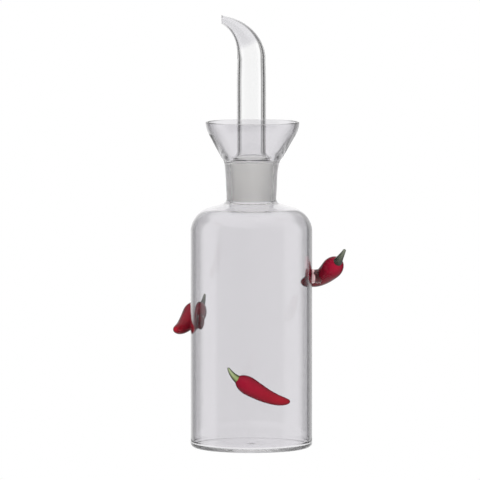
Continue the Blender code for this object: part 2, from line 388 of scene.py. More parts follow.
@dataclass(frozen=True)
class Outline:
    """A line through rounded corners, to be turned round the Z axis.

    Attributes:
        corners: The corners in order.
    """

    corners: tuple[Corner, ...]

    def draw(self, form: bmesh.types.BMesh) -> list[bmesh.types.BMVert]:
        """Draws the line into a mesh and rounds its corners.

        Args:
            form: The mesh that gets the line.

        Returns:
            The line's vertices, in no order.
        """
        before = set(form.verts)
        points = [form.verts.new((c.r, 0.0, c.z)) for c in self.corners]
        for first, second in zip(points, points[1:]):
            form.edges.new((first, second))
        for index, corner in enumerate(self.corners):
            if corner.rounding:
                bmesh.ops.bevel(form, geom=[points[index]], offset=self._reach(index),
                                offset_type="OFFSET", segments=corner.steps, profile=0.5,
                                affect="VERTICES", material=-1)
        return [v for v in form.verts if v not in before]

    def _reach(self, index: int) -> float:
        """Finds how far along its edges a corner's arc begins.

        Args:
            index: Place of the corner in the line.

        Returns:
            The distance from the corner.
        """
        here, back, ahead = (Vector((c.r, c.z)) for c in
                             (self.corners[index], self.corners[index - 1], self.corners[index + 1]))
        turn = (here - back).angle(ahead - here)
        return self.corners[index].rounding * math.tan(turn / 2)

    def turn(self, form: bmesh.types.BMesh, steps: int) -> list[bmesh.types.BMVert]:
        """Draws the line and turns it round the Z axis into a surface.

        Args:
            form: The mesh that gets the surface.
            steps: Faces round the axis.

        Returns:
            The surface's vertices.
        """
        before = set(form.verts)
        line = self.draw(form)
        edges = {e for v in line for e in v.link_edges}
        bmesh.ops.spin(form, geom=line + list(edges), cent=(0, 0, 0), axis=(0, 0, 1), dvec=(0, 0, 0),
                       angle=2 * math.pi, steps=steps, use_merge=True, use_duplicate=False)
        made = [v for v in form.verts if v not in before]
        bmesh.ops.remove_doubles(form, verts=made, dist=POLE_MERGE)
        return [v for v in form.verts if v not in before]


@dataclass(frozen=True)
class Station:
    """A place along a drawn bar or tube.

    Attributes:
        place: The middle of the bar there.
        radius: The bar's radius there.
        along: How far along the bar, 0 to 1.
    """

    place: Vector
    radius: float
    along: float = 0.0


@dataclass
class Drawing:
    """Draws a round bar through stations by extruding a loop from each to the next.

    Attributes:
        stations: The places it goes through.
        heading: Direction of the bar at the first of them.
        loop: Edges of the loop that was drawn last.
    """

    stations: list[Station]
    heading: Vector
    loop: list[bmesh.types.BMEdge] = field(default_factory=list)

    def start(self, form: bmesh.types.BMesh, sides: int) -> None:
        """Makes the first loop at the first station.

        Args:
            form: The mesh that gets the bar.
            sides: Faces round the bar.
        """
        first = self.stations[0]
        turn = Vector((0, 0, 1)).rotation_difference(self.heading)
        place = Matrix.Translation(first.place) @ turn.to_matrix().to_4x4()
        made = bmesh.ops.create_circle(form, cap_ends=False, radius=first.radius, segments=sides,
                                       matrix=place)
        self._mark(form, made["verts"], first.along)
        self.loop = list({e for v in made["verts"] for e in v.link_edges})

    def run(self, form: bmesh.types.BMesh) -> None:
        """Extrudes the loop through all the stations after the first.

        Args:
            form: The mesh that gets the bar.
        """
        heading = self.heading.normalized()
        for index in range(1, len(self.stations)):
            last, here = self.stations[index - 1], self.stations[index]
            ahead = self.stations[min(index + 1, len(self.stations) - 1)]
            new_heading = (ahead.place - last.place).normalized()
            turn = heading.rotation_difference(new_heading).to_matrix().to_4x4()
            made = bmesh.ops.extrude_edge_only(form, edges=self.loop)["geom"]
            verts = [g for g in made if isinstance(g, bmesh.types.BMVert)]
            shift = (Matrix.Translation(here.place) @ turn @ Matrix.Scale(here.radius / last.radius, 4)
                     @ Matrix.Translation(-last.place))
            bmesh.ops.transform(form, matrix=shift, verts=verts)
            self._mark(form, verts, here.along)
            ring = set(verts)
            self.loop = [g for g in made if isinstance(g, bmesh.types.BMEdge)
                         and g.verts[0] in ring and g.verts[1] in ring]
            heading = new_heading

    def close(self, form: bmesh.types.BMesh) -> None:
        """Draws the present loop together to a point.

        Args:
            form: The mesh that holds the bar.
        """
        verts = list({v for e in self.loop for v in e.verts})
        middle = sum((v.co for v in verts), Vector()) / len(verts)
        bmesh.ops.pointmerge(form, verts=verts, merge_co=middle)

    @staticmethod
    def _mark(form: bmesh.types.BMesh, verts: list[bmesh.types.BMVert], along: float) -> None:
        """Writes how far along the bar some vertices are.

        Args:
            form: The mesh that holds them.
            verts: The vertices.
            along: How far along the bar, 0 to 1.
        """
        layer = form.verts.layers.float["along"]
        for vert in verts:
            vert[layer] = along


def new_form() -> bmesh.types.BMesh:
    """Makes an empty mesh whose vertices can hold how far along a bar they are.

    Returns:
        The mesh.
    """
    form = bmesh.new()
    form.verts.layers.float.new("along")
    return form


def finish_piece(name: str, form: bmesh.types.BMesh, materials: list[bpy.types.Material],
                 nodes: list[str], sharp_deg: float = 40.0) -> bpy.types.Object:
    """Makes a mesh an object of the bottle that stands for CAD nodes.

    Args:
        name: Name of the piece.
        form: Its mesh, which is used up.
        materials: Its materials, in the order of their face indices.
        nodes: The CAD nodes it replaces.
        sharp_deg: Angle above which an edge is shaded sharp.

    Returns:
        The piece, riding on the root body.
    """
    bmesh.ops.recalc_face_normals(form, faces=form.faces)
    mesh = bpy.data.meshes.new(name)
    form.to_mesh(mesh)
    form.free()
    mesh.shade_smooth()
    mesh.set_sharp_from_angle(angle=math.radians(sharp_deg))
    for material in materials:
        mesh.materials.append(material)
    piece = bpy.data.objects.new(name, mesh)
    bpy.context.scene.collection.objects.link(piece)
    even = piece.modifiers.new("flat_faces_stay_flat", "WEIGHTED_NORMAL")
    even.keep_sharp = True
    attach(piece, "root")
    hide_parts(*nodes)
    LOG.info("%s: %d faces, stands for %s", name, len(mesh.polygons), ", ".join(nodes))
    return piece


@dataclass
class BottleShell:
    """The blown bottle: flat base, straight wall, rounded shoulder, ground neck and funnel mouth.

    Pairs are a distance from the axis and a height, and a name that ends in _z is a height alone.

    Attributes:
        polished: Material of the fire-polished glass.
        ground: Material of the ground socket.
        radius: Outer radius of the body.
        wall: Thickness of the body's wall.
        base_round: Rounding of the base's outer edge.
        floor: Height of the floor inside.
        floor_round: Rounding where the floor meets the wall inside.
        nub_radius: Radius of the small nub on the floor.
        nub_height: How far the nub stands up.
        shoulder_round: Rounding of the shoulder outside.
        shoulder_corner_z: Top of the shoulder outside, before rounding.
        shoulder_inner_z: The same inside.
        neck_root: Where the neck leaves the shoulder.
        neck_root_round: Rounding there.
        neck_top: Where the neck starts to flare.
        throat: The flare between the neck and the funnel.
        lip_corner: Where the funnel turns upright below the lip.
        lip_round: Rounding there.
        lip_wall: Thickness of the lip.
        lip_top_z: Top of the lip.
        lip_inner_corner_z: Where the funnel turns upright inside.
        funnel_foot: Foot of the funnel inside.
        socket_top: Top of the ground socket.
        socket_foot: Foot of the ground socket.
        socket_root_round: Rounding below the socket.
        ground_margin: How far the matt glass stops short of the socket's foot and of the funnel's.
        funnel_shift: How far the hand-made funnel leans to the right.
        funnel_shift_z: Heights between which it moves over.
        steps: Faces round the axis.
    """

    polished: bpy.types.Material
    ground: bpy.types.Material
    radius: float = 0.0350
    wall: float = 0.0016
    base_round: float = 0.0026
    floor: float = 0.0020
    floor_round: float = 0.0028
    nub_radius: float = 0.0030
    nub_height: float = 0.0004
    shoulder_round: float = 0.0140
    shoulder_corner_z: float = 0.13515
    shoulder_inner_z: float = 0.13394
    neck_root: tuple[float, float] = (0.014145, 0.14113)
    neck_root_round: float = 0.00245
    neck_top: tuple[float, float] = (0.01496, 0.1582)
    throat: tuple[tuple[float, float], ...] = ((0.01555, 0.1628), (0.0163, 0.1653), (0.01775, 0.1671))
    lip_corner: tuple[float, float] = (0.0269, 0.18360)
    lip_round: float = 0.0124
    lip_wall: float = 0.0015
    lip_top_z: float = 0.18745
    lip_inner_corner_z: float = 0.18354
    funnel_foot: tuple[float, float] = (0.0137, 0.1656)
    socket_top: tuple[float, float] = (0.01233, 0.1646)
    socket_foot: tuple[float, float] = (0.0111, 0.14031)
    socket_root_round: float = 0.0016
    ground_margin: tuple[float, float] = (0.0016, 0.0002)
    funnel_shift: float = 0.0006
    funnel_shift_z: tuple[float, float] = (0.1600, 0.1740)
    steps: int = 192

    def build(self) -> bpy.types.Object:
        """Turns the bottle from one outline, out, over the lip and back down inside.

        Returns:
            The bottle.
        """
        form = bmesh.new()
        Outline(self._outside() + self._inside()).turn(form, self.steps)
        low, high = self.funnel_shift_z
        matt_z = self.socket_foot[1] + self.ground_margin[0], self.funnel_foot[1] - self.ground_margin[1]
        for vert in form.verts:
            vert.co.x += self.funnel_shift * min(max((vert.co.z - low) / (high - low), 0.0), 1.0)
        for face in form.faces:
            middle = face.calc_center_median()
            inside = math.hypot(middle.x, middle.y) < self.funnel_foot[0]
            ground = inside and matt_z[0] < middle.z < matt_z[1]
            face.material_index = (GlassSkin.GROUND if ground else GlassSkin.POLISHED).value
        return finish_piece("glass_bottle", form, [self.polished, self.ground], ["bottle"])

    def _outside(self) -> tuple[Corner, ...]:
        """Lists the corners from the middle of the base up to the lip's outer edge.

        Returns:
            The corners.
        """
        throat = tuple(Corner(r, z, 0.004, 3) for r, z in self.throat)
        return (
            Corner(0.0, 0.0),
            Corner(self.radius, 0.0, self.base_round, 20),
            Corner(self.radius, self.shoulder_corner_z, self.shoulder_round, 18),
            Corner(*self.neck_root, self.neck_root_round, 8),
            Corner(*self.neck_top, 0.02, 4),
            *throat,
            Corner(*self.lip_corner, self.lip_round, 10),
            Corner(self.lip_corner[0], self.lip_top_z, self.lip_wall * 0.48, 5),
        )

    def _inside(self) -> tuple[Corner, ...]:
        """Lists the corners from the lip's inner edge down to the middle of the floor.

        Returns:
            The corners.
        """
        lip_r = self.lip_corner[0] - self.lip_wall
        return (
            Corner(lip_r, self.lip_top_z, self.lip_wall * 0.48, 5),
            Corner(lip_r, self.lip_inner_corner_z, self.lip_round - self.lip_wall, 10),
            Corner(*self.funnel_foot, 0.0012, 3),
            Corner(*self.socket_top, 0.0008, 3),
            Corner(*self.socket_foot, self.socket_root_round, 7),
            Corner(self.radius - self.wall, self.shoulder_inner_z, self.shoulder_round - self.wall, 18),
            Corner(self.radius - self.wall, self.floor, self.floor_round, 20),
            Corner(self.nub_radius, self.floor, 0.0010, 8),
            Corner(self.nub_radius * 0.5, self.floor + self.nub_height, 0.0012, 8),
            Corner(0.0, self.floor + self.nub_height),
        )


@dataclass
class PourerTube:
    """The hollow ground plug with its round shoulder, straight tube and swan-neck spout.

    Attributes:
        polished: Material of the fire-polished glass.
        ground: Material of the ground plug.
        foot: Outer radius and height of the plug's foot.
        foot_inner_r: Radius of the bore there.
        shoulder: Top of the plug, outside.
        flare: Where the plug's shoulder runs into the tube, outside.
        shoulder_inner: Top of the plug's bore.
        flare_inner: Where that bore runs into the tube's.
        tube_radius: Outer radius of the straight tube.
        tube_wall: Thickness of its wall.
        straight_top_z: Height where the tube starts to narrow.
        bend_start_z: Height where the bend starts.
        bend_tube_radius: Outer radius of the tube there.
        bend_radius: Radius of the bend's middle line.
        bend_deg: How far the tube turns.
        bend_steps: Loops along the bend.
        tip_radius: Outer radius at the tip.
        tip_wall: Thickness of the wall at the tip.
        tip_x: Where the tip is cut plumb.
        tip_round: Rounding of the tip's rim.
        foot_round: Rounding of the foot's rim.
        overrun: Length of tube that is cut off.
        ground_top_z: Top of the matt glass.
        ground_depth: How near the plug's outer line a matt face lies.
        sides: Faces round the tube.
    """

    polished: bpy.types.Material
    ground: bpy.types.Material
    foot: tuple[float, float] = (0.010865, 0.1413)
    foot_inner_r: float = 0.009265
    shoulder: Corner = Corner(0.01203, 0.16690, 0.0020, 8)
    flare: Corner = Corner(0.00835, 0.16791, 0.0030, 8)
    shoulder_inner: Corner = Corner(0.01078, 0.16595, 0.00075, 6)
    flare_inner: Corner = Corner(0.00685, 0.16696, 0.00425, 8)
    tube_radius: float = 0.00835
    tube_wall: float = 0.00150
    straight_top_z: float = 0.2120
    bend_start_z: float = 0.2232
    bend_tube_radius: float = 0.00805
    bend_radius: float = 0.0240
    bend_deg: float = 72.0
    bend_steps: int = 100
    tip_radius: float = 0.0023
    tip_wall: float = 0.0008
    tip_x: float = -0.0171
    tip_round: float = 0.00020
    foot_round: float = 0.00035
    overrun: float = 0.0022
    ground_top_z: float = 0.1660
    ground_depth: float = 0.0003
    sides: int = 112

    def build(self) -> bpy.types.Object:
        """Draws the outside and the bore, cuts the tip plumb and joins the two at both ends.

        Returns:
            The pourer.
        """
        form = new_form()
        outside = Outline((Corner(*self.foot), self.shoulder, self.flare,
                           Corner(self.tube_radius, self.straight_top_z, 0.05, 4),
                           Corner(self.bend_tube_radius, self.bend_start_z)))
        inner_r = self.tube_radius - self.tube_wall
        bore = Outline((Corner(self.foot_inner_r, self.foot[1]), self.shoulder_inner, self.flare_inner,
                        Corner(inner_r, self.straight_top_z, 0.05, 4),
                        Corner(self.bend_tube_radius - self.tube_wall, self.bend_start_z)))
        self._draw(form, bore, self.tube_wall, self.tip_wall)
        bmesh.ops.reverse_faces(form, faces=form.faces)
        self._draw(form, outside, 0.0, 0.0)
        bmesh.ops.bisect_plane(form, geom=form.verts[:] + form.edges[:] + form.faces[:], dist=POLE_MERGE,
                               plane_co=(self.tip_x, 0, 0), plane_no=(-1, 0, 0), clear_outer=True)
        ends = [e for e in form.edges if e.is_boundary]
        tip = [e for e in ends if e.verts[0].co.z > self.bend_start_z]
        foot = [e for e in ends if e.verts[0].co.z < self.bend_start_z]
        for rims, round_off in ((tip, self.tip_round), (foot, self.foot_round)):
            bmesh.ops.bridge_loops(form, edges=rims)
            bmesh.ops.bevel(form, geom=rims, offset=round_off, offset_type="OFFSET", segments=3,
                            profile=0.5, affect="EDGES", material=-1)
        for face in form.faces:
            middle = face.calc_center_median()
            r = math.hypot(middle.x, middle.y)
            line = self.foot[0] + (self.shoulder.r - self.foot[0]) * (
                (middle.z - self.foot[1]) / (self.shoulder.z - self.foot[1]))
            ground = middle.z < self.ground_top_z and r > line - self.ground_depth
            face.material_index = (GlassSkin.GROUND if ground else GlassSkin.POLISHED).value
        return finish_piece("glass_pourer", form, [self.polished, self.ground], ["pourer"])

    def _draw(self, form: bmesh.types.BMesh, outline: Outline, inset: float, tip_inset: float) -> None:
        """Turns the upright part of one surface and draws its top loop round the bend.

        Args:
            form: The mesh that gets the surface.
            outline: The upright part, from the plug's foot to the start of the bend.
            inset: How far the surface lies inside the tube at the start of the bend.
            tip_inset: How far it lies inside the tube at the tip.
        """
        made = outline.turn(form, self.sides)
        top = [v for v in made if v.co.z > self.bend_start_z - 1e-6]
        drawing = Drawing(self._bend(inset, tip_inset), Vector((0, 0, 1)))
        drawing.loop = list({e for v in top for e in v.link_edges if e.verts[0] in top and e.verts[1] in top})
        drawing.run(form)

    def _bend(self, inset: float, tip_inset: float) -> list[Station]:
        """Stations round the bend, narrowing to the tip.

        Args:
            inset: Wall left out at the start of the bend.
            tip_inset: Wall left out at the tip.

        Returns:
            The stations, from the start of the bend to just past the tip.
        """
        found = []
        for step in range(self.bend_steps + 1):
            t = step / self.bend_steps
            turn = math.radians(self.bend_deg) * t
            place = Vector((self.bend_radius * (math.cos(turn) - 1), 0.0,
                            self.bend_start_z + self.bend_radius * math.sin(turn)))
            narrow = t * t * (2.2 - 1.2 * t)
            outside = self.bend_tube_radius + (self.tip_radius - self.bend_tube_radius) * narrow
            thinned = 1 - (1 - t) ** 3
            found.append(Station(place, outside - inset - (tip_inset - inset) * thinned))
        turn = math.radians(self.bend_deg)
        ahead = Vector((-math.sin(turn), 0.0, math.cos(turn))) * self.overrun
        found.append(Station(found[-1].place + ahead, found[-1].radius))
        return found


@dataclass
class GlassChilli:
    """A glass chilli with its stem, held off the wall by a clear glass foot.

    The lean has three angles: at the stem's end, at the body's stem end and at the body's tip.

    Attributes:
        place: Which chilli it is.
        red: Material of the body.
        green: Material of the stem.
        clear: Material of the foot.
        azimuth_deg: Where it sits round the bottle, from the front to the right.
        height: Height of its seat on the wall.
        lean_deg: How far it leans out from the wall.
        roll_deg: How far it is turned on the wall.
        clearance: Room between the body's seat and the wall.
        size: Its size against the plain one.
        foot_rise: How far the foot sits above the seat.
        wall_radius: Radius of the bottle's wall.
        length: Length of the body's middle line.
        radius: Largest radius of the body.
        head: Where the body is widest, as a share of its length.
        head_flat: How much the stem end rounds in.
        thinning: How much the body narrows to the tip.
        thinning_power: How late it narrows.
        tip_power: How blunt the tip is.
        drop_deg: How steeply the body falls at its stem end.
        lift_deg: How far it has curled up again at the tip.
        seat: Where the foot holds it, as a share of its length.
        steps: Loops along the body.
        sides: Faces round the body.
        cap_depth: Depth of the domed stem end against its radius.
        cap_rounds: Loops in that dome.
        stem_length: Length of the stem.
        stem_radii: Radius of the stem at the body and at its end.
        stem_rise_deg: How steeply it rises there.
        stem_steps: Loops along the stem.
        stem_sides: Faces round the stem.
        stem_sunk: How far the stem runs into the body.
        dome_rounds: Loops in the stem's round end.
        foot_radius: Radius of the foot.
        foot_lift: Room between the foot and the wall.
    """

    place: ChilliPlace
    red: bpy.types.Material
    green: bpy.types.Material
    clear: bpy.types.Material
    azimuth_deg: float
    height: float
    lean_deg: tuple[float, float, float] = (0.0, 0.0, 0.0)
    roll_deg: float = 0.0
    clearance: float = 0.0016
    size: float = 1.0
    foot_rise: float = 0.0
    wall_radius: float = 0.0350
    length: float = 0.0325
    radius: float = 0.00513
    head: float = 0.22
    head_flat: float = 0.78
    thinning: float = 0.62
    thinning_power: float = 1.25
    tip_power: float = 12.0
    drop_deg: float = 32.0
    lift_deg: float = 35.0
    seat: float = 0.47
    steps: int = 60
    sides: int = 48
    cap_depth: float = 0.22
    cap_rounds: int = 8
    stem_length: float = 0.0078
    stem_radii: tuple[float, float] = (0.00227, 0.00078)
    stem_rise_deg: tuple[float, float] = (36.0, 66.0)
    stem_steps: int = 16
    stem_sides: int = 32
    stem_sunk: float = 0.0010
    dome_rounds: int = 6
    foot_radius: float = 0.0042
    foot_lift: float = 0.00005

    def build(self) -> list[bpy.types.Object]:
        """Makes the body, the stem and the foot.

        Returns:
            The three pieces.
        """
        node = f"chilli_{self.place.value}"
        return [
            finish_piece(f"{node}_red", self._body(), [self.red], [f"{node}_body"]),
            finish_piece(f"{node}_green", self._stem(), [self.green], [f"{node}_stem"]),
            finish_piece(f"{node}_clear", self._foot(), [self.clear], [f"{node}_foot"]),
        ]

    def _body_radius(self, s: float) -> float:
        """Finds the body's radius.

        Args:
            s: How far along the body, from 0 at the stem end to 1 at the tip.

        Returns:
            The radius there.
        """
        if s < self.head:
            return self.radius * self.size * math.sqrt(1 - self.head_flat * (1 - s / self.head) ** 2)
        u = (s - self.head) / (1 - self.head)
        thin = 1 - self.thinning * u ** self.thinning_power
        return self.radius * self.size * thin * math.sqrt(max(1 - u ** self.tip_power, 0.0))

    def _heading(self, s: float) -> Vector:
        """Finds the direction of the body's middle line.

        Args:
            s: How far along the body, 0 to 1.

        Returns:
            The direction there: right, up and outward, as seen from outside.
        """
        drop = math.radians(self.drop_deg - self.lift_deg * s ** 3)
        _, stem_end, tip = self.lean_deg
        tilt = math.radians(stem_end + (tip - stem_end) * s)
        return Vector((math.cos(drop) * math.cos(tilt), -math.sin(drop), math.cos(drop) * math.sin(tilt)))

    def _middle_line(self) -> list[Vector]:
        """Draws the body's middle line from the stem end to the tip.

        Returns:
            Its points, with the seat over the origin.
        """
        step = self.length * self.size / self.steps
        points = [Vector((0, 0, 0))]
        for index in range(self.steps):
            points.append(points[-1] + self._heading((index + 0.5) / self.steps) * step)
        whole = self.seat * self.steps
        low = int(whole)
        seat = points[low].lerp(points[low + 1], whole - low)
        return [p - seat for p in points]

    def _wall_frame(self) -> Matrix:
        """Finds the frame on the wall at the chilli's azimuth and height.

        Returns:
            The turn and shift from the chilli's own frame to the bottle's.
        """
        angle = math.radians(self.azimuth_deg)
        right = Vector((math.cos(angle), math.sin(angle), 0))
        out = Vector((math.sin(angle), -math.cos(angle), 0))
        axes = Matrix((right, Vector((0, 0, 1)), out)).transposed().to_4x4()
        return Matrix.Translation(out * self.wall_radius + Vector((0, 0, self.height))) @ axes

    def _seat_frame(self) -> Matrix:
        """Finds the wall frame, rolled and lifted to the body's seat.

        Returns:
            The turn and shift from the body's frame to the bottle's.
        """
        lift = self.clearance + self._body_radius(self.seat)
        return (self._wall_frame() @ Matrix.Translation((0, 0, lift))
                @ Matrix.Rotation(math.radians(-self.roll_deg), 4, "Z"))

    def _body(self) -> bmesh.types.BMesh:
        """Draws the red body.

        Returns:
            Its mesh, in place on the bottle.
        """
        form = new_form()
        line = self._middle_line()
        stations = []
        for index, place in enumerate(line):
            s = index / self.steps
            stations.append(Station(place, max(self._body_radius(s), POINT_RADIUS), s))
        drawing = Drawing(stations, line[1] - line[0])
        drawing.start(form, self.sides)
        self._cap(form, drawing)
        drawing.run(form)
        drawing.close(form)
        bmesh.ops.transform(form, matrix=self._seat_frame(), verts=form.verts)
        return form

    def _cap(self, form: bmesh.types.BMesh, drawing: Drawing) -> None:
        """Rounds the stem end in over the first loop with a few shrinking loops.

        Args:
            form: The mesh that holds the body.
            drawing: The drawing whose first loop has been made, which keeps its loop.
        """
        first, kept = drawing.stations[0], drawing.loop
        back = -drawing.heading.normalized()
        stations = [first]
        for index in range(1, self.cap_rounds + 1):
            turn = math.pi / 2 * index / self.cap_rounds
            depth = self.cap_depth * first.radius * math.sin(turn)
            stations.append(Station(first.place + back * depth,
                                    max(first.radius * math.cos(turn), POINT_RADIUS)))
        cap = Drawing(stations, back, list(kept))
        cap.run(form)
        cap.close(form)
        drawing.loop = kept

    def _stem(self) -> bmesh.types.BMesh:
        """Draws the green stem, sunk a little into the body's end.

        Returns:
            Its mesh, in place on the bottle.
        """
        form = new_form()
        start = self._middle_line()[0]
        step = self.stem_length * self.size / self.stem_steps
        place = start.copy()
        stations = []
        first_heading = self._stem_heading(0.0)
        for index in range(self.stem_steps + 1):
            t = index / self.stem_steps
            radius = self.size * (self.stem_radii[0] + (self.stem_radii[1] - self.stem_radii[0]) * t)
            stations.append(Station(place.copy(), radius, t))
            place = place + self._stem_heading(t) * step
        sunk = Station(start - first_heading * self.stem_sunk, self.stem_radii[0] * self.size, 0.0)
        drawing = Drawing([sunk] + stations, first_heading)
        drawing.start(form, self.stem_sides)
        base = list(drawing.loop)
        drawing.run(form)
        self._round_end(form, drawing)
        Drawing([sunk], first_heading, base).close(form)
        bmesh.ops.transform(form, matrix=self._seat_frame(), verts=form.verts)
        return form

    def _stem_heading(self, t: float) -> Vector:
        """Finds the direction of the stem.

        Args:
            t: How far along the stem, from 0 at the body to 1 at its end.

        Returns:
            The direction there: right, up and outward, as seen from outside.
        """
        low, high = (math.radians(a) for a in self.stem_rise_deg)
        rise = low + (high - low) * t
        end, start, _ = self.lean_deg
        tilt = math.radians(start + (end - start) * t * t)
        return Vector((-math.cos(rise) * math.cos(tilt), math.sin(rise), -math.cos(rise) * math.sin(tilt)))

    def _round_end(self, form: bmesh.types.BMesh, drawing: Drawing) -> None:
        """Domes the end of a bar.

        Args:
            form: The mesh that holds the bar.
            drawing: The drawing that has reached its last station.
        """
        last = drawing.stations[-1]
        heading = (last.place - drawing.stations[-2].place).normalized()
        stations = [last]
        for index in range(1, self.dome_rounds + 1):
            turn = math.pi / 2 * index / self.dome_rounds
            stations.append(Station(last.place + heading * last.radius * math.sin(turn),
                                    max(last.radius * math.cos(turn), POINT_RADIUS / 2), 1.0))
        dome = Drawing(stations, heading, list(drawing.loop))
        dome.run(form)
        dome.close(form)

    def _foot(self) -> bmesh.types.BMesh:
        """Turns the clear foot: a waisted knob that spreads onto the wall and up round the body.

        Returns:
            Its mesh, in place on the bottle, with its underside curved like the wall.
        """
        form = bmesh.new()
        top = self.clearance + self._body_radius(self.seat) * 0.55
        corners = (
            Corner(0.0, 0.0),
            Corner(self.foot_radius * 0.55, 0.0),
            Corner(self.foot_radius * 1.10, 0.0, 0.00015, 2),
            Corner(self.foot_radius * 0.92, top * 0.35, 0.0015, 6),
            Corner(self.foot_radius * 1.02, top, 0.0006, 4),
            Corner(0.0, top),
        )
        Outline(corners).turn(form, 64)
        bmesh.ops.translate(form, vec=(0, self.foot_rise, 0), verts=form.verts)
        for vert in form.verts:
            curve = math.sqrt(self.wall_radius ** 2 - vert.co.x ** 2) - self.wall_radius
            keep = max(0.0, 1 - vert.co.z / top)
            vert.co.z += curve * keep + self.foot_lift
        bmesh.ops.transform(form, matrix=self._wall_frame(), verts=form.verts)
        return form


@dataclass(frozen=True)
class SoftLight:
    """A square soft light that faces the bottle and isn't seen in or through the glass.

    Attributes:
        name: Name of the light.
        place: Where it stands.
        side: Length of its side.
        watts: Its power.
    """

    name: str
    place: tuple[float, float, float]
    side: float
    watts: float

    def build(self, aim: Vector) -> None:
        """Makes the light.

        Args:
            aim: The point that it faces.
        """
        data = bpy.data.lights.new(self.name, "AREA")
        data.size = self.side
        data.energy = self.watts
        light = bpy.data.objects.new(self.name, data)
        bpy.context.scene.collection.objects.link(light)
        light.location = self.place
        light.rotation_mode = "QUATERNION"
        light.rotation_quaternion = (aim - Vector(self.place)).to_track_quat("-Z", "Y")
        light.visible_glossy = False
        light.visible_transmission = False


